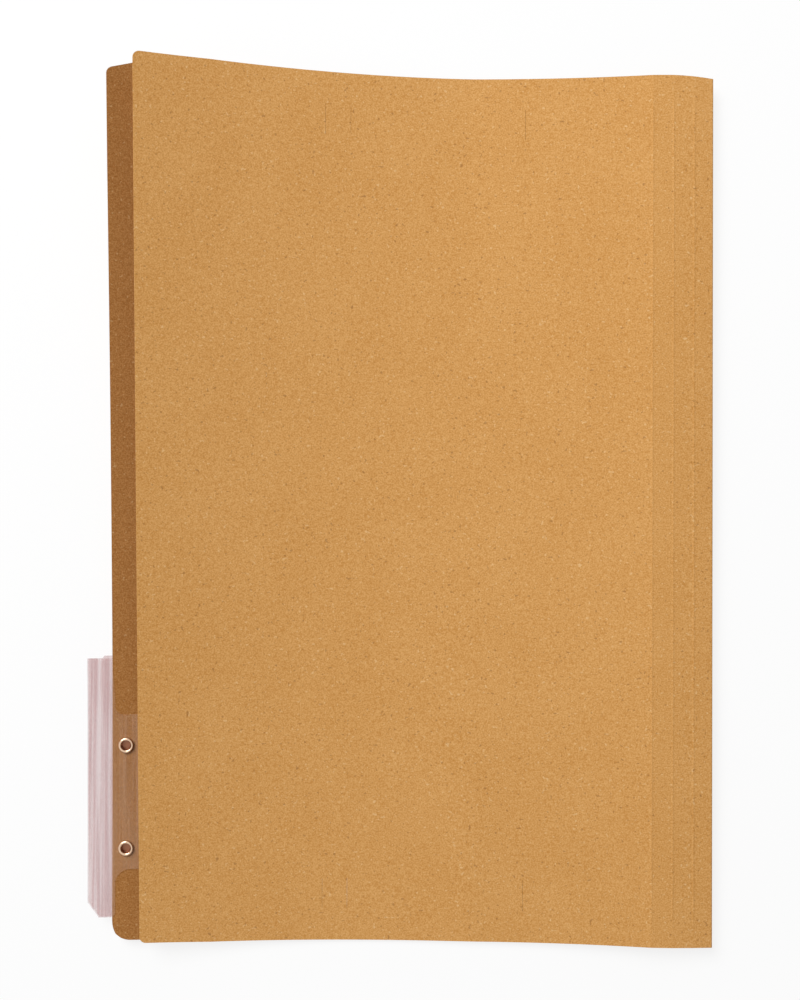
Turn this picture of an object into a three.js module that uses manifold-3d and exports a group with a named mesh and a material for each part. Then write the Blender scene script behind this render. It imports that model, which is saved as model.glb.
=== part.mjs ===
// Kraft card file folder, lying on its back cover and slightly open, with a score-lined fold, slits for
// a paper fastener and a clear index tab riveted to the lip of the back cover.
// Millimetres, +Z up, +X towards the fold, +Y towards the top end. A place on a cover is given by u, the
// distance along the card from the crease, and v, the distance along the crease from its middle.
import * as THREE from 'three';
import { mergeVertices } from 'three/addons/utils/BufferGeometryUtils.js';
import Module from 'manifold-3d';

const wasm = await Module();
wasm.setup();

// Card
const folderLength = 345;
const frontWidth = 227;
const backWidth = 238.5;
const cardThickness = 0.5;
const creaseGap = 0.3;
const frontCornerRadius = 2.5;
const frontCornerDrop = 0.75;
const frontCornerDropWidth = 28;
const lipCornerRadius = 8;
const lipTaperWidth = 9.5;
const lipTaperDrop = 3.2;
const lipTopCornerRadius = 1.8;
const lipSetback = 0.75;
const lipSetbackLength = 190;
const foldTopDrop = 1.3;
const foldTopDropWidth = 14;

// Score lines that let the fold spread
const firstScore = 7;
const scorePitch = 8.2;
const scoreCount = 3;
const scoreHalfWidth = 0.6;
const scoreHeight = 0.11;

// Slits for the prongs of a paper fastener, at both ends of each cover
const slitNearCrease = 73.9;
const shortFastenerSpacing = 70;
const longFastenerSpacing = 80;
const slitLength = 12;
const slitWidth = 0.5;
const slitEndMargin = 12.5;

// How the card lies: raised at the crease, flat on the table in its belly, curled up at its free edge
const bellyStart = 94;
const bellyEnd = 136;
const creaseLift = 5.1;
const backStripSlope = 1.4;
const frontStripSpread = [5.4, 3.9, 0.7];
const frontEdgeRise = 20.4;
const frontEdgeTwist = 12.6;
const twistPower = 1.25;
const lipRiseLow = 4.9;
const lipRiseHigh = 24;
const lipRisePower = 1.8;
const lipCurlPower = 1.5;

// Index tab, one strip of clear film folded round the lip
const filmThickness = 0.3;
const filmGap = 0.15;
const tabTop = -60.3;
const tabLength = 103;
const tabReach = 9;
const tabRearStep = 1;
const tabRearStepReach = 2.4;
const tabChamferWidth = 4.6;
const tabChamferLength = 6.3;
const tabOverlap = 2;
const tabOverlapTaper = 16;
const flangeTop = -82.6;
const flangeLength = 61.6;
const flangeOverlap = 15;
const flangeUpperFillet = 3.2;
const flangeLowerFillet = 6;
const flangeCornerRadius = 3;
const tabInnerCornerRadius = 2;

// Tubular rivets through film and card
const rivetInset = 6.2;
const upperRivetPlace = -94.8;
const lowerRivetPlace = -135.8;
const rivetBoreRadius = 1.9;
const rivetWall = 0.4;
const rivetRimRadius = 3;
const rivetRimHeight = 0.75;
const rivetHeadRadius = 3.3;
const rivetHeadHeight = 0.6;
const rivetFloor = 0.3;
const rivetClearance = 0.15;
const rivetSides = 28;

// Grid of the bent sheets
const gridStepAcross = 7;
const gridStepAlong = 29;
const trimMargin = 2;

const halfLength = folderLength / 2;
const scores = Array.from({ length: scoreCount }, (_, i) => firstScore + i * scorePitch);
const lastScore = scores[scoreCount - 1];
const degrees = Math.PI / 180;
const clamp = THREE.MathUtils.clamp;

// Height of the back cover's middle plane before its free edge curls: a straight strip between the
// crease and the last score, a parabola down to the table, then flat.
function bellyHeight(u) {
  const fall = 1 - clamp((u - lastScore) / (bellyStart - lastScore), 0, 1);
  const strip = Math.max(lastScore - u, 0) * Math.tan(backStripSlope * degrees);
  return cardThickness / 2 + creaseLift * fall * fall + strip;
}

function backHeight(u, v) {
  const across = Math.max((u - bellyEnd) / (backWidth - bellyEnd), 0);
  const along = clamp((v + halfLength) / folderLength, 0, 1);
  const rise = lipRiseLow + (lipRiseHigh - lipRiseLow) * along ** lipCurlPower;
  return bellyHeight(u) + rise * across ** lipRisePower;
}

// The front cover parts from the back cover at the crease and a little more at each score, then rises
// towards its free edge, more at the top end than at the bottom one.
function frontHeight(u, v) {
  const starts = [0, ...scores];
  const spread = frontStripSpread.reduce((sum, angle, i) => {
    const run = clamp(u - starts[i], 0, starts[i + 1] - starts[i]);
    return sum + run * Math.tan(angle * degrees);
  }, 0);
  const across = Math.max((u - bellyStart) / (frontWidth - bellyStart), 0);
  const twist = frontEdgeTwist * across ** twistPower * v / halfLength;
  return bellyHeight(u) + cardThickness + creaseGap + spread + frontEdgeRise * across ** 2 + twist;
}

// Plan distance from the crease for each millimetre along the card, so that bending keeps its length.
function planTable(heightAt, reach) {
  const table = [0];
  for (let u = 1; u <= Math.ceil(reach) + 1; u += 1) {
    const rise = heightAt(u, 0) - heightAt(u - 1, 0);
    table.push(table[u - 1] + Math.sqrt(1 - rise * rise));
  }
  return table;
}

function makeCover(heightAt, reach) {
  const table = planTable(heightAt, reach);
  const plan = (u) => {
    const i = clamp(Math.floor(u), 0, table.length - 2);
    return table[i] + (u - i) * (table[i + 1] - table[i]);
  };
  const normal = (u, v) => {
    const d = 0.5;
    const across = (heightAt(u + d, v) - heightAt(u - d, v)) / (2 * d);
    const along = (heightAt(u, v + d) - heightAt(u, v - d)) / (2 * d);
    return new THREE.Vector3(across, -along, Math.sqrt(1 - across * across)).normalize();
  };
  const point = (u, v, offset) =>
    new THREE.Vector3(-plan(u), v, heightAt(u, v)).addScaledVector(normal(u, v), offset);
  return { plan, normal, point };
}

const tabEdge = backWidth + tabReach;
const front = makeCover(frontHeight, frontWidth + trimMargin);
const back = makeCover(backHeight, tabEdge + trimMargin);

// Evenly spaced grid lines from start to end, no further apart than step.
function gridLines(start, end, step) {
  const count = Math.ceil((end - start) / step);
  return Array.from({ length: count + 1 }, (_, i) => start + (end - start) * i / count);
}

// Closed slab between two offsets from a cover's middle plane, over a grid of u and v lines.
function bentSlab(cover, uLines, vLines, lowerOffset, upperOffset) {
  const positions = [];
  const indices = [];
  const rows = vLines.length;
  const layer = uLines.length * rows;
  for (const offsetAt of [upperOffset, lowerOffset]) {
    for (const u of uLines) {
      for (const v of vLines) {
        positions.push(...cover.point(u, v, offsetAt(u)).toArray());
      }
    }
  }
  const quad = (a, b, c, d) => indices.push(a, b, c, a, c, d);
  for (let i = 0; i + 1 < uLines.length; i += 1) {
    for (let j = 0; j + 1 < rows; j += 1) {
      const a = i * rows + j;
      quad(a, a + 1, a + rows + 1, a + rows);
      quad(layer + a, layer + a + rows, layer + a + rows + 1, layer + a + 1);
    }
    const low = i * rows;
    const high = low + rows - 1;
    quad(low, low + rows, layer + low + rows, layer + low);
    quad(high, layer + high, layer + high + rows, high + rows);
  }
  const last = (uLines.length - 1) * rows;
  for (let j = 0; j + 1 < rows; j += 1) {
    quad(j, layer + j, layer + j + 1, j + 1);
    quad(last + j, last + j + 1, layer + last + j + 1, layer + last + j);
  }
  const geometry = new THREE.BufferGeometry();
  geometry.setAttribute('position', new THREE.Float32BufferAttribute(positions, 3));
  geometry.setIndex(indices);
  return geometry;
}

function toSolid(geometry) {
  const bare = geometry.clone();
  bare.deleteAttribute('normal');
  bare.deleteAttribute('uv');
  const merged = mergeVertices(bare, 1e-4);
  return new wasm.Manifold(new wasm.Mesh({
    numProp: 3,
    vertProperties: new Float32Array(merged.attributes.position.array),
    triVerts: new Uint32Array(merged.index.array),
  }));
}

function toGeometry(solid) {
  const mesh = solid.getMesh();
  const geometry = new THREE.BufferGeometry();
  geometry.setAttribute('position', new THREE.Float32BufferAttribute(mesh.vertProperties, 3));
  geometry.setIndex(new THREE.Uint32BufferAttribute(mesh.triVerts, 1));
  geometry.computeVertexNormals();
  return geometry;
}

// Upright prism of a plan outline, tall enough to pass through the whole folder.
function uprightPrism(shape) {
  const reach = frontEdgeRise + frontEdgeTwist + lipRiseHigh + creaseLift + trimMargin;
  const geometry = new THREE.ExtrudeGeometry(shape, { depth: 2 * reach, bevelEnabled: false, curveSegments: 8 });
  geometry.translate(0, 0, -reach);
  return toSolid(geometry);
}

// Shape through corners given as [x, y, radius], each rounded by an arc of its radius.
function roundedShape(corners) {
  const shape = new THREE.Shape();
  const goTo = (x, y, isFirst) => {
    if (isFirst) {
      shape.moveTo(x, y);
    } else {
      shape.lineTo(x, y);
    }
  };
  corners.forEach(([x, y, radius], i) => {
    const before = corners[(i + corners.length - 1) % corners.length];
    const after = corners[(i + 1) % corners.length];
    const corner = new THREE.Vector2(x, y);
    const toBefore = new THREE.Vector2(before[0], before[1]).sub(corner).normalize();
    const toAfter = new THREE.Vector2(after[0], after[1]).sub(corner).normalize();
    const half = Math.acos(clamp(toBefore.dot(toAfter), -1, 1)) / 2;
    if (radius === 0) {
      goTo(x, y, i === 0);
      return;
    }
    const setback = radius / Math.tan(half);
    const start = corner.clone().addScaledVector(toBefore, setback);
    const end = corner.clone().addScaledVector(toAfter, setback);
    const inward = toBefore.clone().add(toAfter).normalize();
    const centre = corner.clone().addScaledVector(inward, radius / Math.sin(half));
    const startAngle = start.clone().sub(centre).angle();
    const endAngle = end.clone().sub(centre).angle();
    const leftTurn = toBefore.cross(toAfter) < 0;
    goTo(start.x, start.y, i === 0);
    shape.absarc(centre.x, centre.y, radius, startAngle, endAngle, !leftTurn);
  });
  shape.closePath();
  return shape;
}

function fastenerSlits(cover) {
  const places = [slitNearCrease, slitNearCrease + shortFastenerSpacing, slitNearCrease + longFastenerSpacing];
  const centre = halfLength - slitEndMargin - slitLength / 2;
  const solids = places.flatMap((u) => [-centre, centre].map((v) => {
    const x = -cover.plan(u);
    const [w, l] = [slitWidth / 2, slitLength / 2];
    return uprightPrism(roundedShape([[x - w, v - l, 0], [x + w, v - l, 0], [x + w, v + l, 0], [x - w, v + l, 0]]));
  }));
  return solids.reduce((sum, solid) => sum.add(solid));
}

// Grid lines across a cover, with three lines at each score so that its ridge can be pressed up.
function coverLines(width) {
  const scoreLines = scores.flatMap((s) => [s - scoreHalfWidth, s, s + scoreHalfWidth]);
  const open = gridLines(lastScore + scoreHalfWidth, width + trimMargin, gridStepAcross);
  return [0, ...scoreLines, ...open.slice(1)];
}

function coverSolid(cover, width, outline, upperOffset) {
  const along = gridLines(-halfLength - trimMargin, halfLength + trimMargin, gridStepAlong);
  const slab = bentSlab(cover, coverLines(width), along, () => -cardThickness / 2, upperOffset);
  return toSolid(slab).intersect(uprightPrism(roundedShape(outline))).subtract(fastenerSlits(cover));
}

// Corners of a cover's outline at the crease, where the top end falls away a little towards the fold.
function creaseCorners(cover) {
  return [
    [trimMargin, -halfLength, 0],
    [trimMargin, halfLength - foldTopDrop, 0],
    [0, halfLength - foldTopDrop, 0],
    [-cover.plan(foldTopDropWidth), halfLength, 0],
  ];
}

// Front cover: both ends fall away a little towards its rounded corners, and the scores stand up as low
// ridges on its outer face.
function frontCover() {
  const edge = -front.plan(frontWidth);
  const dropStart = -front.plan(frontWidth - frontCornerDropWidth);
  const ridge = (u) => Math.max(...scores.map((s) => 1 - Math.abs(u - s) / scoreHalfWidth), 0) * scoreHeight;
  return coverSolid(front, frontWidth, [
    ...creaseCorners(front),
    [dropStart, halfLength, 0],
    [edge, halfLength - frontCornerDrop, frontCornerRadius],
    [edge, frontCornerDrop - halfLength, frontCornerRadius],
    [dropStart, -halfLength, 0],
  ], (u) => cardThickness / 2 + ridge(u));
}

// Back cover: wider by its lip, which tapers at the top end, narrows slowly down to the tab and has a
// large round at the bottom end.
function backCover() {
  const edge = -back.plan(backWidth);
  const setBackEdge = -back.plan(backWidth - lipSetback);
  const taperStart = -back.plan(backWidth - lipTaperWidth);
  return coverSolid(back, backWidth, [
    ...creaseCorners(back),
    [taperStart, halfLength, 0],
    [edge, halfLength - lipTaperDrop, lipTopCornerRadius],
    [edge, tabTop + lipSetbackLength, 0],
    [setBackEdge, tabTop, 0],
    [setBackEdge, -halfLength, lipCornerRadius],
  ], () => cardThickness / 2);
}

// Plan outline of one layer of the tab: a strip along the lip's edge with a flange towards the fold.
function tabOutline(rearStep) {
  const edge = -back.plan(tabEdge);
  const chamfer = -back.plan(tabEdge - tabChamferWidth);
  const strip = -back.plan(backWidth - tabOverlap);
  const card = -back.plan(backWidth - lipSetback);
  const flange = -back.plan(backWidth - flangeOverlap);
  const tabBottom = tabTop - tabLength;
  const flangeBottom = flangeTop - flangeLength;
  const step = -back.plan(backWidth + tabRearStepReach);
  const head = rearStep > 0
    ? [[card, tabTop + rearStep, 0], [step, tabTop + rearStep, 0], [step - rearStep, tabTop, 0]]
    : [[card, tabTop, 0]];
  return [
    ...head,
    [edge, tabTop, 0],
    [edge, tabBottom + tabChamferLength, 0],
    [chamfer, tabBottom, 0],
    [strip, tabBottom, tabInnerCornerRadius],
    [strip, flangeBottom, flangeLowerFillet],
    [flange, flangeBottom, flangeCornerRadius],
    [flange, flangeTop, flangeCornerRadius],
    [strip, flangeTop, flangeUpperFillet],
    [strip, tabTop - tabOverlapTaper, 0],
  ];
}

// Index tab: a front and a rear layer either side of the lip, joined by the fold at the outer edge.
function indexTab() {
  const inner = cardThickness / 2 + filmGap;
  const outer = inner + filmThickness;
  const across = gridLines(backWidth - flangeOverlap - trimMargin, tabEdge, gridStepAcross / 2);
  const wall = [tabEdge - filmThickness, tabEdge];
  const along = gridLines(tabTop - tabLength - trimMargin, tabTop + tabRearStep + trimMargin, gridStepAlong / 3);
  const layer = (lines, low, high) => toSolid(bentSlab(back, lines, along, () => low, () => high));
  const frontPrism = uprightPrism(roundedShape(tabOutline(0)));
  const rearPrism = uprightPrism(roundedShape(tabOutline(tabRearStep)));
  return layer(across, inner, outer).intersect(frontPrism)
    .add(layer(across, -outer, -inner).intersect(rearPrism))
    .add(layer(wall, -outer, outer).intersect(frontPrism));
}

// Place of a rivet: its origin in the middle of the card and its axis square to the lip.
function rivetPlace(v) {
  const u = backWidth - rivetInset;
  const turn = new THREE.Quaternion().setFromUnitVectors(new THREE.Vector3(0, 1, 0), back.normal(u, v));
  return new THREE.Matrix4().compose(back.point(u, v, 0), turn, new THREE.Vector3(1, 1, 1));
}

function rivetHole(v) {
  const radius = rivetBoreRadius + rivetWall + rivetClearance;
  const length = 4 * (cardThickness + filmThickness + filmGap);
  return toSolid(new THREE.CylinderGeometry(radius, radius, length, rivetSides).applyMatrix4(rivetPlace(v)));
}

// Tubular rivet: a low domed head behind, a barrel, and a rim rolled over in front of a blind bore.
function rivet() {
  const seat = cardThickness / 2 + filmGap + filmThickness + rivetClearance;
  const barrel = rivetBoreRadius + rivetWall;
  const rollCentre = (rivetBoreRadius + rivetRimRadius) / 2;
  const rollWidth = (rivetRimRadius - rivetBoreRadius) / 2;
  const profile = [
    [0, -seat - rivetHeadHeight],
    [rivetHeadRadius * 0.65, -seat - rivetHeadHeight * 0.85],
    [rivetHeadRadius, -seat - rivetHeadHeight * 0.4],
    [rivetHeadRadius, -seat],
    [barrel, -seat],
    [barrel, seat],
    [rivetRimRadius * 0.97, seat],
  ];
  for (let i = 0; i <= 8; i += 1) {
    const angle = Math.PI * i / 8;
    profile.push([rollCentre + rollWidth * Math.cos(angle), seat + rivetRimHeight * (0.35 + 0.65 * Math.sin(angle))]);
  }
  profile.push([rivetBoreRadius, -seat + rivetFloor], [0, -seat + rivetFloor]);
  return new THREE.LatheGeometry(profile.map(([r, h]) => new THREE.Vector2(r, h)), rivetSides);
}

const kraftOuter = new THREE.MeshStandardMaterial({ color: 0xd09a57, roughness: 0.9, metalness: 0 });
const kraftInner = new THREE.MeshStandardMaterial({ color: 0xa46f38, roughness: 0.9, metalness: 0 });
const clearFilm = new THREE.MeshStandardMaterial({
  color: 0xc58c8a,
  roughness: 0.25,
  metalness: 0,
  transparent: true,
  opacity: 0.4,
});
const nickel = new THREE.MeshStandardMaterial({ color: 0xe0bfa2, roughness: 0.25, metalness: 1 });

function namedMesh(name, geometry, material) {
  const mesh = new THREE.Mesh(geometry, material);
  mesh.name = name;
  return mesh;
}

const rivetPlaces = { upper_rivet: upperRivetPlace, lower_rivet: lowerRivetPlace };
const rivetHoles = Object.values(rivetPlaces).map(rivetHole).reduce((sum, hole) => sum.add(hole));

const folder = new THREE.Group();
folder.add(namedMesh('front_cover', toGeometry(frontCover()), kraftOuter));
folder.add(namedMesh('back_cover', toGeometry(backCover().subtract(rivetHoles)), kraftInner));
folder.add(namedMesh('index_tab', toGeometry(indexTab().subtract(rivetHoles)), clearFilm));
for (const [name, v] of Object.entries(rivetPlaces)) {
  const mesh = namedMesh(name, rivet(), nickel);
  rivetPlace(v).decompose(mesh.position, mesh.quaternion, mesh.scale);
  folder.add(mesh);
}

// The origin is the middle of the bounding box's underside.
const box = new THREE.Box3().setFromObject(folder, true);
folder.position.set(-(box.min.x + box.max.x) / 2, -(box.min.y + box.max.y) / 2, -box.min.z);

export default folder;
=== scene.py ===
# Kraft card fastener folder, lying on its back cover and seen from above
import math
import bpy
import numpy as np
from mathutils import Matrix


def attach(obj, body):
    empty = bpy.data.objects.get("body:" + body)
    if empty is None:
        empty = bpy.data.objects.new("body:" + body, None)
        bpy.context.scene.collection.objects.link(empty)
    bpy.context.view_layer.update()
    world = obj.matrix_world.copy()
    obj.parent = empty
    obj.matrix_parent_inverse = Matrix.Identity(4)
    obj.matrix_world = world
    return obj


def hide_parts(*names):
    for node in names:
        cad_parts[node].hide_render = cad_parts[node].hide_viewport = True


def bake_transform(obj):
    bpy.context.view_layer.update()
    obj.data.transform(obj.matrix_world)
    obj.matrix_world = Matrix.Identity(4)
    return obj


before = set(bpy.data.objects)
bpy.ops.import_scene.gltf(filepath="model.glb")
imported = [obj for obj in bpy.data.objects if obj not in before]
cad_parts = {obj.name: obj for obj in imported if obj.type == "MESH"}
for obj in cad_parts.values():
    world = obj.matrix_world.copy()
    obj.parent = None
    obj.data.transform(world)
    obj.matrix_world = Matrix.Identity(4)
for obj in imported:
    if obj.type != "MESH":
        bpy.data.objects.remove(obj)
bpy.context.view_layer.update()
print("frame loaded")

mm = 0.001

# How the card is bent, in millimetres, with u from the crease and v along it from the middle
bend = {
    "length": 345.0,
    "thickness": 0.5,
    "creaseGap": 0.3,
    "creaseX": 123.10357,
    "scores": (7.0, 15.2, 23.4),
    "bellyStart": 94.0,
    "bellyEnd": 136.0,
    "creaseLift": 5.1,
    "backStripSlope": 1.4,
    "frontStripSpread": (5.4, 3.9, 0.7),
    "frontEdgeRise": 20.4,
    "frontEdgeTwist": 12.6,
    "twistPower": 1.25,
    "lipRiseLow": 4.9,
    "lipRiseHigh": 24.0,
    "lipRisePower": 1.8,
    "lipCurlPower": 1.5,
}
halfLength = bend["length"] / 2
halfCard = bend["thickness"] / 2
frontWidth = 227.0
backWidth = 238.5


# Height = card middle + lift * fall^2 + a straight slope inside the last score; fall runs 1 to 0 at the belly
def bellyHeight(u):
    lastScore = bend["scores"][-1]
    fall = 1 - np.clip((u - lastScore) / (bend["bellyStart"] - lastScore), 0, 1)
    strip = np.clip(lastScore - u, 0, None) * math.tan(math.radians(bend["backStripSlope"]))
    return halfCard + bend["creaseLift"] * fall ** 2 + strip


# Height = belly + (low + (high - low) * (share of length)^1.5) * (share past the belly)^1.8
def backHeight(u, v):
    across = np.clip((u - bend["bellyEnd"]) / (backWidth - bend["bellyEnd"]), 0, None)
    along = np.clip((v + halfLength) / bend["length"], 0, 1)
    rise = bend["lipRiseLow"] + (bend["lipRiseHigh"] - bend["lipRiseLow"]) * along ** bend["lipCurlPower"]
    return bellyHeight(u) + rise * across ** bend["lipRisePower"]


# Height = belly + card + gap + slopes summed over the scored strips + rise * q^2 + twist * q^1.25 * v
def frontHeight(u, v):
    starts = (0.0,) + bend["scores"]
    spread = sum(
        np.clip(u - starts[i], 0, starts[i + 1] - starts[i]) * math.tan(math.radians(angle))
        for i, angle in enumerate(bend["frontStripSpread"])
    )
    across = np.clip((u - bend["bellyStart"]) / (frontWidth - bend["bellyStart"]), 0, None)
    twist = bend["frontEdgeTwist"] * across ** bend["twistPower"] * v / halfLength
    rise = bend["frontEdgeRise"] * across ** 2
    return bellyHeight(u) + bend["thickness"] + bend["creaseGap"] + spread + rise + twist


# A cover's surface: plan x = crease - sum of sqrt(1 - rise^2) over each millimetre of card, y = v, z = height
class Cover:
    def __init__(self, heightAt, reach):
        self.heightAt = heightAt
        self.steps = np.arange(0, math.ceil(reach) + 2, dtype=float)
        rises = np.diff(heightAt(self.steps, 0 * self.steps))
        self.plan = np.concatenate([[0], np.cumsum(np.sqrt(1 - rises ** 2))])

    # Unit normal from central differences of the height, half a millimetre each way
    def normal(self, u, v):
        across = self.heightAt(u + 0.5, v) - self.heightAt(u - 0.5, v)
        along = self.heightAt(u, v + 0.5) - self.heightAt(u, v - 0.5)
        n = np.stack([across, -along, np.sqrt(1 - across ** 2)], axis=-1)
        return n / np.linalg.norm(n, axis=-1, keepdims=True)

    # Point in metres, offset square to the card
    def point(self, u, v, offset=0.0):
        u, v = np.broadcast_arrays(np.asarray(u, float), np.asarray(v, float))
        x = bend["creaseX"] - np.interp(u, self.steps, self.plan)
        p = np.stack([x, v, self.heightAt(u, v)], axis=-1)
        return (p + self.normal(u, v) * np.asarray(offset)[..., None]) * mm


front = Cover(frontHeight, frontWidth + 2)
back = Cover(backHeight, backWidth + 12)


# One shell from two grids of points: quads over the kept cells and walls wherever a kept cell meets a gap
def slab(name, under, over, keep):
    nu, nv = keep.shape
    number = np.arange((nu + 1) * (nv + 1)).reshape(nu + 1, nv + 1)
    low = number + number.size

    def corner(grid, place, chosen):
        i, j = place
        return grid[i:nu + i, j:nv + j][chosen]

    faces = [
        np.stack([corner(number, c, keep) for c in ((0, 0), (0, 1), (1, 1), (1, 0))], axis=1),
        np.stack([corner(low, c, keep) for c in ((0, 0), (1, 0), (1, 1), (0, 1))], axis=1),
    ]
    padded = np.pad(keep, 1)
    sides = (
        ((0, 1), (0, 0), (0, 1)),
        ((2, 1), (1, 1), (1, 0)),
        ((1, 0), (1, 0), (0, 0)),
        ((1, 2), (0, 1), (1, 1)),
    )
    for (pi, pj), a, b in sides:
        edge = keep & ~padded[pi:pi + nu, pj:pj + nv]
        around = ((number, a), (low, a), (low, b), (number, b))
        faces.append(np.stack([corner(grid, c, edge) for grid, c in around], axis=1))
    points = np.concatenate([over.reshape(-1, 3), under.reshape(-1, 3)])
    return shell(name, points, faces)


# Mesh object from points and arrays of faces, without the points that no face uses. It is shaded smooth,
# apart from edges sharper than sharpAngle, in degrees.
def shell(name, points, faceArrays, sharpAngle=35.0):
    used = np.unique(np.concatenate([a.ravel() for a in faceArrays]))
    faces = [face for a in faceArrays for face in np.searchsorted(used, a).tolist()]
    mesh = bpy.data.meshes.new(name)
    mesh.from_pydata(points[used].tolist(), [], faces)
    mesh.validate()
    mesh.polygons.foreach_set("use_smooth", np.ones(len(mesh.polygons), bool))
    mesh.set_sharp_from_angle(angle=math.radians(sharpAngle))
    mesh.update()
    made = bpy.data.objects.new(name, mesh)
    bpy.context.scene.collection.objects.link(made)
    return made


# Distance that a rounded corner takes off a side: r - sqrt(r^2 - (u past the corner's centre)^2)
def roundOff(u, width, radius):
    past = np.clip(u - (width - radius), 0, radius)
    return radius - np.sqrt(radius ** 2 - past ** 2)


# Lines from start to end no further apart than step, joined with the lines that must be there
def lines(start, end, step, *extra):
    even = np.linspace(start, end, math.ceil((end - start) / step) + 1)
    every = np.concatenate([even, *[np.atleast_1d(e) for e in extra]])
    every = np.unique(np.round(every, 4))
    must = np.concatenate([np.atleast_1d(e) for e in extra] + [[start, end]])
    near = np.min(np.abs(every[:, None] - must[None, :]), axis=1)
    return every[(near < 1e-3) | (near > 0.3 * min(step, 1.0))]


slits = {"nearCrease": 73.9, "spacings": (0.0, 70.0, 80.0), "length": 12.0, "width": 0.08, "endMargin": 12.5}
slitPlaces = slits["nearCrease"] + np.array(slits["spacings"])
slitLow = halfLength - slits["endMargin"] - slits["length"]
slitHigh = halfLength - slits["endMargin"]
slitSides = np.concatenate([slitPlaces - slits["width"] / 2, slitPlaces + slits["width"] / 2])
foldEnd = {"drop": 1.3, "width": 18.0, "turnSteps": 36, "stepAlong": 6.0}
endBand = halfLength - 8.5  # the grid's lines are straight up to here, and stretch past it
endBandLines = 5


# v at each grid place: fixed lines in the middle, and end bands that stretch to the outline's own ends
def fitEnds(u, vMiddle, lowEnd, highEnd):
    share = np.linspace(0, 1, endBandLines + 1)[1:]
    low = -endBand - (lowEnd[:, None] - endBand) * share[::-1][None, :]
    high = endBand + (highEnd[:, None] - endBand) * share[None, :]
    middle = np.broadcast_to(vMiddle, (len(u), len(vMiddle)))
    v = np.concatenate([low, middle, high], axis=1)
    return np.broadcast_to(u[:, None], v.shape), v


# True where a cell isn't inside a fastener slit
def outsideSlits(u, v):
    uMid = (u[:-1, :-1] + u[1:, :-1]) / 2
    vMid = (v[:-1, :-1] + v[:-1, 1:]) / 2
    inAcross = np.min(np.abs(uMid[..., None] - slitPlaces), axis=-1) < slits["width"] / 2
    inAlong = (np.abs(vMid) > slitLow) & (np.abs(vMid) < slitHigh)
    return ~(inAcross & inAlong)


# Top end's fall towards the fold: drop * (1 - share of its width)^2
def foldFall(u):
    return foldEnd["drop"] * np.clip(1 - u / foldEnd["width"], 0, 1) ** 2


frontLook = {
    "cornerRadius": 2.5,
    "cornerDrop": 0.75,
    "cornerDropWidth": 28.0,
    "stepAcross": 4.0,
    "stepAlong": 6.0,
    "scoreHeight": 0.11,
    "scoreHalfWidth": 0.6,
    "scoreBeside": 1.6,
    "scoreEndMargin": 8.0,
    "scoreFade": 3.0,
}


# Front cover: the front surface with cosine ridges pressed up at the scores, and two rounded corners towards
# which both ends fall away by drop * share of the drop's width
def makeFrontCover():
    scores = np.array(bend["scores"])
    half = frontLook["scoreHalfWidth"]
    beside = frontLook["scoreBeside"]  # a line here, in half widths, keeps the card beside a ridge flat
    across = np.concatenate([[-beside], np.linspace(-1, 1, 7), [beside]])
    ridgeLines = (scores[:, None] + half * across).ravel()
    corner = frontWidth - frontLook["cornerRadius"] * (1 - np.sin(np.linspace(0, math.pi / 2, 7)))
    dropStart = frontWidth - frontLook["cornerDropWidth"]
    u = lines(0, frontWidth, frontLook["stepAcross"], ridgeLines, slitSides, corner, dropStart)
    vMiddle = lines(-endBand, endBand, frontLook["stepAlong"], [-slitHigh, -slitLow, slitLow, slitHigh])
    drop = frontLook["cornerDrop"] * np.clip((u - dropStart) / frontLook["cornerDropWidth"], 0, 1)
    end = halfLength - drop - roundOff(u, frontWidth, frontLook["cornerRadius"])
    u, v = fitEnds(u, vMiddle, end, end - foldFall(u))
    away = np.min(np.abs(u[..., None] - scores), axis=-1)
    fade = np.clip((halfLength - frontLook["scoreEndMargin"] - np.abs(v)) / frontLook["scoreFade"], 0, 1)
    ridge = fade * frontLook["scoreHeight"] * np.cos(np.clip(away / half, 0, 1) * math.pi / 2) ** 2
    keep = outsideSlits(u, v)
    return slab("frontCard", front.point(u, v, -halfCard), front.point(u, v, halfCard + ridge), keep)


rivets = {
    "inset": 6.2,
    "places": {"upper_rivet": -94.8, "lower_rivet": -135.8},
    "boreRadius": 1.9,
    "barrelRadius": 2.3,
    "rimRadius": 3.0,
    "rimHeight": 0.75,
    "headRadius": 3.3,
    "headHeight": 0.6,
    "seat": 0.85,
    "floor": 0.3,
    "holeRadius": 2.6,
    "sides": 48,
}
rivetU = backWidth - rivets["inset"]
backLook = {
    "lipCornerRadius": 8.0,
    "topCornerRadius": 1.8,
    "taperWidth": 9.5,
    "taperDrop": 3.2,
    "setback": 0.75,
    "setbackWidth": 2.2,
    "setbackStart": 129.7,
    "setbackEnd": -60.3,
    "stepAcross": 4.0,
    "stepAlong": 6.0,
    "holeSquare": 2.2,
    "holeReach": 4.0,
}


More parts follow.
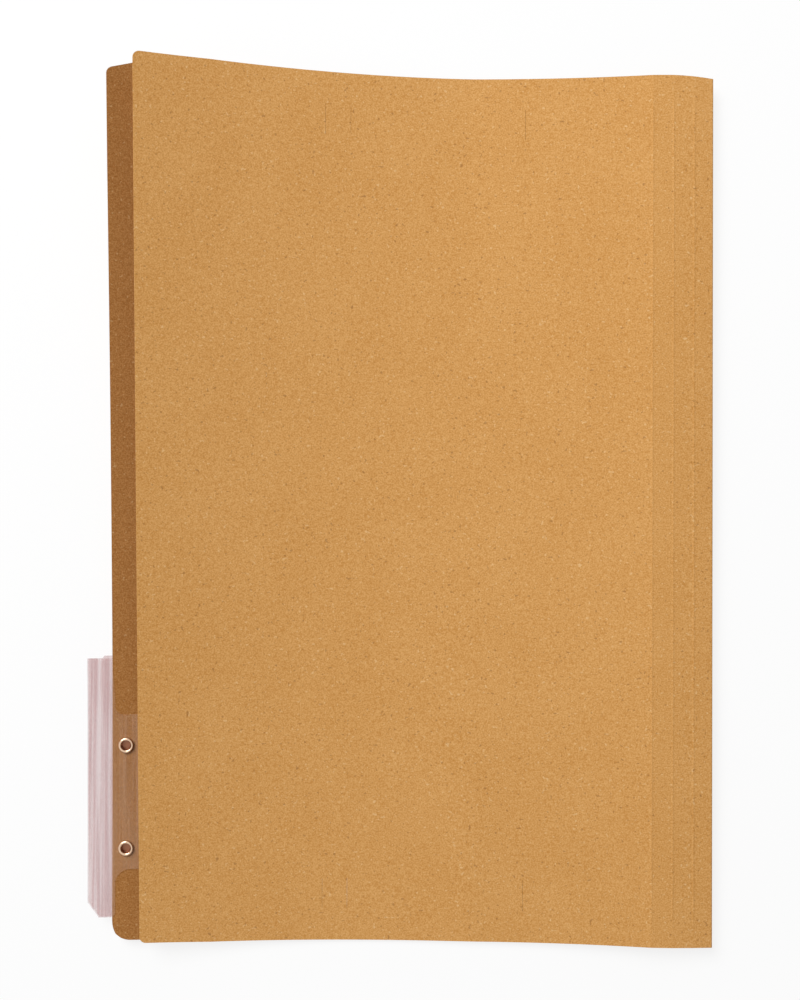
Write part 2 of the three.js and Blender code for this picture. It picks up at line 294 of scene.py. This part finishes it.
# Back cover: the back surface with a tapered lip, and a round hole for each rivet. Near a hole the grid's
# squares turn into circles: distance = own distance * (1 - s) + square distance * radius / square * s.
def makeBackCover():
    square, reach = backLook["holeSquare"], backLook["holeReach"]
    rings = np.array([-reach, -square, -square / 2, 0, square / 2, square, reach])
    r = backLook["lipCornerRadius"]
    corner = backWidth - r * (1 - np.sin(np.linspace(0, math.pi / 2, 9)))
    topCorner = backWidth - backLook["topCornerRadius"] * np.array([1, 0.6, 0.3, 0.1])
    taperStart = backWidth - backLook["taperWidth"]
    setbackSide = backWidth - backLook["setbackWidth"]
    must = (slitSides, rivetU + rings, corner[-2:], topCorner, taperStart, setbackSide)
    u = lines(0, backWidth, backLook["stepAcross"], *must)
    holes = np.concatenate([v + rings for v in rivets["places"].values()])
    slitEnds = [-slitHigh, -slitLow, slitLow, slitHigh]
    steps = [backLook["setbackStart"], backLook["setbackEnd"]]
    vMiddle = lines(-endBand, endBand, backLook["stepAlong"], slitEnds, steps, holes)
    lowEnd = halfLength - roundOff(u, backWidth, r)
    taper = backLook["taperDrop"] * np.clip((u - taperStart) / backLook["taperWidth"], 0, 1)
    highEnd = halfLength - taper - foldFall(u) - roundOff(u, backWidth, backLook["topCornerRadius"])
    u, v = fitEnds(u, vMiddle, lowEnd, highEnd)
    keep = outsideSlits(u, v)
    edgeShare = np.clip((u - backWidth) / backLook["setbackWidth"] + 1, 0, 1)
    start, end = backLook["setbackStart"], backLook["setbackEnd"]
    u = u - backLook["setback"] * edgeShare * np.clip((v - start) / (end - start), 0, 1)
    for place in rivets["places"].values():
        uMid = (u[:-1, :-1] + u[1:, 1:]) / 2 - rivetU
        vMid = (v[:-1, :-1] + v[1:, 1:]) / 2 - place
        keep &= np.maximum(np.abs(uMid), np.abs(vMid)) > square
        du, dv = u - rivetU, v - place
        square2 = np.maximum(np.abs(du), np.abs(dv))
        own = np.maximum(np.hypot(du, dv), 1e-9)
        s = np.clip((reach - square2) / (reach - square), 0, 1)
        wanted = own * (1 - s) + square2 * rivets["holeRadius"] / square * s
        u = rivetU + du * wanted / own
        v = place + dv * wanted / own
    return slab("backCard", back.point(u, v, -halfCard), back.point(u, v, halfCard), keep)


# Fold: a half ring of card about the crease, from the back cover's edge to the front cover's
def makeFold():
    inner = bend["creaseGap"] / 2
    outer = inner + bend["thickness"]
    turn = np.radians(np.linspace(-90, 90, foldEnd["turnSteps"] + 1))
    v = lines(-halfLength, halfLength - foldEnd["drop"], foldEnd["stepAlong"])
    middle = (backHeight(0.0, 0.0) + frontHeight(0.0, 0.0)) / 2

    def ring(radius):
        across = bend["creaseX"] + radius * np.cos(turn)[:, None] + 0 * v
        up = middle + radius * np.sin(turn)[:, None] + 0 * v
        return np.stack([across, np.broadcast_to(v, across.shape), up], axis=-1)[::-1] * mm

    cells = np.ones((len(turn) - 1, len(v) - 1), bool)
    made = slab("foldStrip", ring(inner), ring(outer), cells)
    order = np.arange(len(made.data.polygons)) // cells.size  # 0 outer faces, 1 inner faces, then the walls
    return made, (order == 1).astype(np.int32), middle


# Rivet: a profile of radius and height turned about the axis, which stands square to the lip
def makeRivet(name, place):
    r = rivets
    seat, bore, rim = r["seat"], r["boreRadius"], r["rimRadius"]
    headTurn = np.linspace(0, math.pi / 2, 9)
    head = np.stack([r["headRadius"] * np.sin(headTurn), -seat - r["headHeight"] * np.cos(headTurn)], axis=1)
    rollTurn = np.linspace(-0.18, 1, 15) * math.pi
    roll = np.stack([
        (bore + rim) / 2 + (rim - bore) / 2 * np.cos(rollTurn),
        seat + r["rimHeight"] * (0.35 + 0.65 * np.sin(rollTurn)),
    ], axis=1)
    boreFloor = -seat + r["floor"]
    shank = np.array([[r["headRadius"], -seat], [r["barrelRadius"], -seat], [r["barrelRadius"], seat]])
    inside = np.array([[bore, boreFloor + 0.3], [bore - 0.3, boreFloor], [0, boreFloor]])
    profile = np.concatenate([head, shank, roll, inside])
    around = np.linspace(0, 2 * math.pi, r["sides"], endpoint=False)
    x = profile[:, 0][:, None] * np.cos(around)
    y = profile[:, 0][:, None] * np.sin(around)
    z = np.broadcast_to(profile[:, 1][:, None], x.shape)
    centre = back.point(rivetU, place)
    axis = back.normal(np.float64(rivetU), np.float64(place))
    side = np.cross([0.0, 1.0, 0.0], axis)
    side /= np.linalg.norm(side)
    up = np.cross(axis, side)
    points = centre + (x[..., None] * side + y[..., None] * up + z[..., None] * axis) * mm
    rows, n = x.shape
    number = np.arange(rows * n).reshape(rows, n)
    number[0] = 0  # each pole is one point
    number[-1] = (rows - 1) * n
    following = np.roll(number, -1, axis=1)
    quads = np.stack([number[:-1], following[:-1], following[1:], number[1:]], axis=-1)
    faces = [quads[0][:, [0, 2, 3]], quads[1:-1].reshape(-1, 4), quads[-1][:, [0, 1, 2]]]
    made = shell(name, points.reshape(-1, 3), faces, 40.0)
    boreStart = (len(head) + len(shank) + len(roll) - 1) * n
    inBore = np.arange(len(made.data.polygons)) >= boreStart
    return made, inBore.astype(np.int32)


# A value in a material's node tree; arithmetic on it adds Math nodes
class Wire:
    def __init__(self, finish, socket):
        self.finish = finish
        self.socket = socket

    def maths(self, operation, first, second):
        return self.finish.node("ShaderNodeMath", {"operation": operation}, {0: first, 1: second})

    def __add__(self, other):
        return self.maths("ADD", self, other)

    def __radd__(self, other):
        return self.maths("ADD", other, self)

    def __sub__(self, other):
        return self.maths("SUBTRACT", self, other)

    def __rsub__(self, other):
        return self.maths("SUBTRACT", other, self)

    def __mul__(self, other):
        return self.maths("MULTIPLY", self, other)

    def __rmul__(self, other):
        return self.maths("MULTIPLY", other, self)

    # 0 below start, 1 above end, smooth between
    def ramp(self, start, end):
        sockets = {"Value": self, "From Min": start, "From Max": end, "To Min": 0.0, "To Max": 1.0}
        return self.finish.node("ShaderNodeMapRange", {"interpolation_type": "SMOOTHSTEP"}, sockets)


# A material or world and the one way to add any node to it
class Finish:
    def __init__(self, name, kind=bpy.data.materials):
        self.owner = kind.new(name)
        self.owner.use_nodes = True
        self.tree = self.owner.node_tree
        self.tree.nodes.clear()

    def node(self, kind, settings=None, sockets=None, output=0):
        made = self.tree.nodes.new(kind)
        for key, value in (settings or {}).items():
            setattr(made, key, value)
        for key, value in (sockets or {}).items():
            if isinstance(value, Wire):
                self.tree.links.new(value.socket, made.inputs[key])
            else:
                made.inputs[key].default_value = value
        return Wire(self, made.outputs[output]) if made.outputs else made

    # Colour a where factor is 0, b where it is 1; sockets 6 and 7 and output 2 are the node's colour ones
    def mix(self, factor, a, b):
        return self.node("ShaderNodeMix", {"data_type": "RGBA"}, {0: factor, 6: a, 7: b}, output=2)

    # Place on the piece, in metres
    def spot(self):
        return self.node("ShaderNodeTexCoord", None, None, output="Object")

    def place(self, scale=(1, 1, 1), shift=(0, 0, 0)):
        sockets = {"Vector": self.spot(), "Scale": scale, "Location": shift}
        return self.node("ShaderNodeMapping", None, sockets)

    def noise(self, scale, detail, stretch=(1, 1, 1), shift=(0, 0, 0)):
        sockets = {"Vector": self.place(stretch, shift), "Scale": scale, "Detail": detail}
        return self.node("ShaderNodeTexNoise", {"noise_dimensions": "3D"}, sockets)

    # 1 where the camera sees a surface itself, in a mirror or through clear film
    def seen(self):
        names = ("Is Camera Ray", "Is Glossy Ray", "Is Transmission Ray")
        rays = [self.node("ShaderNodeLightPath", None, None, output=name) for name in names]
        return self.node("ShaderNodeClamp", None, {"Value": rays[0] + rays[1] + rays[2]})

    def finish(self, shader, kind="ShaderNodeOutputMaterial"):
        self.node(kind, None, {"Surface": shader})
        return self.owner


kraft = {
    "outer": (0.635, 0.320, 0.095),
    "inner": (0.370, 0.157, 0.040),
    "outerGrain": (0.635, 0.530, 0.290),
    "innerGrain": (0.560, 0.350, 0.150),
    "pale": (0.88, 0.62, 0.32),
    "dark": (0.30, 0.130, 0.035),
    "mottle": 0.03,
    "clumps": 0.05,
    "grain": 0.235,
    "fibres": 0.03,
    "paleShare": 0.42,
    "darkShare": 0.55,
    "relief": 0.00006,
    "scales": {
        "mottle": 34.0,
        "clumps": 620.0,
        "grain": 1800.0,
        "fibres": 420.0,
        "pale": 1000.0,
        "dark": 900.0,
    },
}


# Kraft card: soft mottle, fine grain, pale and dark flecks, and short fibres. Its colour is the base plus the
# tone times the grain's colour.
def kraftCard(name, base, grainColour, fleckStrength):
    f = Finish(name)
    scales = kraft["scales"]
    mottle = f.noise(scales["mottle"], 3.0).ramp(0.3, 0.7) - 0.5
    clumps = f.noise(scales["clumps"], 1.0).ramp(0.25, 0.75) - 0.5
    grain = f.noise(scales["grain"], 1.0).ramp(0.25, 0.75) - 0.5
    fibres = f.noise(scales["fibres"], 1.0, stretch=(1, 3.2, 1)).ramp(0.3, 0.7) - 0.5
    tone = kraft["mottle"] * mottle + kraft["clumps"] * clumps + kraft["grain"] * grain
    tone = tone + kraft["fibres"] * fibres
    sockets = {0: tone, 1: grainColour, 2: base}
    toned = f.node("ShaderNodeVectorMath", {"operation": "MULTIPLY_ADD"}, sockets)
    paleFlecks = f.noise(scales["pale"], 0.0, shift=(3.1, 0.4, 0)).ramp(0.71, 0.83)
    darkFlecks = f.noise(scales["dark"], 0.0, shift=(0.7, 5.3, 0)).ramp(0.71, 0.84)
    flecked = f.mix(paleFlecks * (kraft["paleShare"] * fleckStrength), toned, kraft["pale"] + (1,))
    flecked = f.mix(darkFlecks * (kraft["darkShare"] * fleckStrength), flecked, kraft["dark"] + (1,))
    height = grain + 0.6 * fibres
    bump = f.node("ShaderNodeBump", None, {"Strength": 0.25, "Distance": kraft["relief"], "Height": height})
    shader = f.node("ShaderNodeBsdfPrincipled", None, {
        "Base Color": flecked, "Roughness": 0.88, "Specular IOR Level": 0.25, "Normal": bump,
    })
    return f.finish(shader)


film = {
    # The browner tint over the card is partly painted light from the card beneath the film
    "overCard": (0.71, 0.42, 0.24),
    "atEdge": (0.56, 0.26, 0.255),
    "alphaOverCard": 0.18,
    "alphaAtEdge": 0.23,
    "streaks": 0.17,
    "roughness": 0.22,
    "edgeBlur": 0.4,
}


# Clear film: a thin warm tint, pinker beyond the card's edge, with long streaks where it is pressed along its
# fold. Over the card the tint is browner, which is partly painted light from the lit card beneath it.
def clearFilm():
    f = Finish("clear film")
    cardEdge = bend["creaseX"] - np.interp(backWidth - backLook["setback"], back.steps, back.plan)
    across = f.node("ShaderNodeSeparateXYZ", None, {"Vector": f.spot()})
    overCard = across.ramp((cardEdge - film["edgeBlur"]) * mm, (cardEdge + film["edgeBlur"]) * mm)
    alpha = film["alphaAtEdge"] + (film["alphaOverCard"] - film["alphaAtEdge"]) * overCard
    streaks = f.noise(560.0, 2.0, stretch=(1, 0.012, 1)).ramp(0.36, 0.64)
    shader = f.node("ShaderNodeBsdfPrincipled", None, {
        # Over the card, the browner tint is partly painted light from the card beneath
        "Base Color": f.mix(overCard, film["atEdge"] + (1,), film["overCard"] + (1,)),
        "Roughness": film["roughness"],
        "Specular IOR Level": 0.5,
        "Alpha": alpha + film["streaks"] * (streaks - 0.5),
    })
    return f.finish(shader)


# Metal with a slightly uneven gloss
def metal(name, colour, roughness):
    f = Finish(name)
    marks = f.noise(900.0, 2.0)
    shader = f.node("ShaderNodeBsdfPrincipled", None, {
        "Base Color": colour + (1,), "Metallic": 1.0, "Roughness": roughness + 0.15 * (marks - 0.5),
    })
    return f.finish(shader)


kraftOuter = kraftCard("kraft outside", kraft["outer"], kraft["outerGrain"], 1.0)
kraftInner = kraftCard("kraft inside", kraft["inner"], kraft["innerGrain"], 0.5)
# The rim's warm, darker colour is partly the metal's own and partly painted reflection of the kraft card
# around it
rimMetalWithReflection = metal("rim metal with painted reflection", (0.74, 0.52, 0.36), 0.2)
# The bore's dark brown is painted shade inside the blind bore, with a painted reflection of the kraft card
# around it
borePaintedShade = metal("bore with painted shade", (0.29, 0.13, 0.075), 0.42)
print("materials made")


# One material on the faces that look up or sideways, another on those that look down
def paintSides(piece, upMaterial, downMaterial):
    piece.data.materials.append(upMaterial)
    piece.data.materials.append(downMaterial)
    normals = np.zeros(len(piece.data.polygons) * 3, np.float32)
    piece.data.polygons.foreach_get("normal", normals)
    looksDown = normals[2::3] < -0.3
    piece.data.polygons.foreach_set("material_index", looksDown.astype(np.int32))


frontCard = makeFrontCover()
paintSides(frontCard, kraftOuter, kraftInner)
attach(frontCard, "front")
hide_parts("front_cover")

backCard = makeBackCover()
paintSides(backCard, kraftInner, kraftOuter)
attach(backCard, "back")
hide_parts("back_cover")

foldStrip, isInner, creaseZ = makeFold()
foldStrip.data.materials.append(kraftOuter)
foldStrip.data.materials.append(kraftInner)
foldStrip.data.polygons.foreach_set("material_index", isInner)
innerFace = bend["creaseGap"] / 2
(creaseZ - innerFace) * mm
(creaseZ + innerFace) * mm
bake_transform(foldStrip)

for nodeName, place in rivets["places"].items():
    rivet, inBore = makeRivet(nodeName.replace("_rivet", "Rivet"), place)
    rivet.data.materials.append(rimMetalWithReflection)
    # Faces inside the bore take the dark brown painted shade
    rivet.data.materials.append(borePaintedShade)
    rivet.data.polygons.foreach_set("material_index", inBore)
    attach(rivet, "back")
    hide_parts(nodeName)

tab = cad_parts["index_tab"]
tab.data.materials.clear()
tab.data.materials.append(clearFilm())
print("pieces made")

studio = {
    "floorHalfSize": 6.0,
    "floorColour": (0.93, 0.93, 0.93),
    "floorGlow": 0.82,
    "worldStrength": 0.32,
    "worldSeen": 0.95,
    "lampPlace": (-0.85, 1.15, 1.60),
    "lampSize": 1.25,
    "lampPower": 45.0,
}


# Pale floor that looks white to the camera and still takes the folder's shadow
def makeFloor():
    size = studio["floorHalfSize"]
    mesh = bpy.data.meshes.new("floor")
    corners = [(-size, -size, 0), (size, -size, 0), (size, size, 0), (-size, size, 0)]
    mesh.from_pydata(corners, [], [(0, 1, 2, 3)])
    floor = bpy.data.objects.new("floor", mesh)
    bpy.context.scene.collection.objects.link(floor)
    f = Finish("floor")
    colour = studio["floorColour"] + (1,)
    matt = f.node("ShaderNodeBsdfDiffuse", None, {"Color": colour})
    glow = f.node("ShaderNodeEmission", None, {"Color": (1, 1, 1, 1), "Strength": 1.0})
    floor.data.materials.append(f.finish(
        f.node("ShaderNodeMixShader", None, {0: f.seen() * studio["floorGlow"], 1: matt, 2: glow})
    ))


# Soft white surroundings, whiter where they are seen, and one large lamp
def makeLight():
    f = Finish("studio", bpy.data.worlds)
    strength = studio["worldStrength"] + (studio["worldSeen"] - studio["worldStrength"]) * f.seen()
    glow = f.node("ShaderNodeBackground", None, {"Color": (1, 1, 1, 1), "Strength": strength})
    bpy.context.scene.world = f.finish(glow, "ShaderNodeOutputWorld")
    lamp = bpy.data.lights.new("softbox", "AREA")
    lamp.shape = "SQUARE"
    lamp.size = studio["lampSize"]
    lamp.energy = studio["lampPower"]
    holder = bpy.data.objects.new("softbox", lamp)
    bpy.context.scene.collection.objects.link(holder)
    place = np.array(studio["lampPlace"])
    holder.location = place
    towards = -place / np.linalg.norm(place)  # the lamp looks at the origin
    tilt = math.atan2(math.hypot(*towards[:2]), -towards[2])
    heading = math.atan2(towards[0], -towards[1]) + math.pi
    holder.rotation_euler = (tilt, 0, heading)


makeFloor()
makeLight()

viewpoint = {
    "place": (0.006640, -0.004677, 0.492265),
    "turns": {"Z": 0.0053, "X": 0.0159, "Y": 0.0137},
    "focalPixels": 1222.8,
    "frameHeight": 1000,
    "sensor": 36.0,
}
camera = bpy.data.cameras.new("camera")
camera.sensor_fit = "AUTO"
camera.sensor_width = viewpoint["sensor"]
camera.lens = viewpoint["focalPixels"] / viewpoint["frameHeight"] * viewpoint["sensor"]
camera.clip_start = 0.01
holder = bpy.data.objects.new("camera", camera)
bpy.context.scene.collection.objects.link(holder)
turn = Matrix.Identity(3)
for axis, angle in viewpoint["turns"].items():
    turn = turn @ Matrix.Rotation(angle, 3, axis)
holder.matrix_world = Matrix.Translation(viewpoint["place"]) @ turn.to_4x4()
bpy.context.scene.camera = holder
bpy.context.scene.view_settings.view_transform = "Standard"
print("camera set")
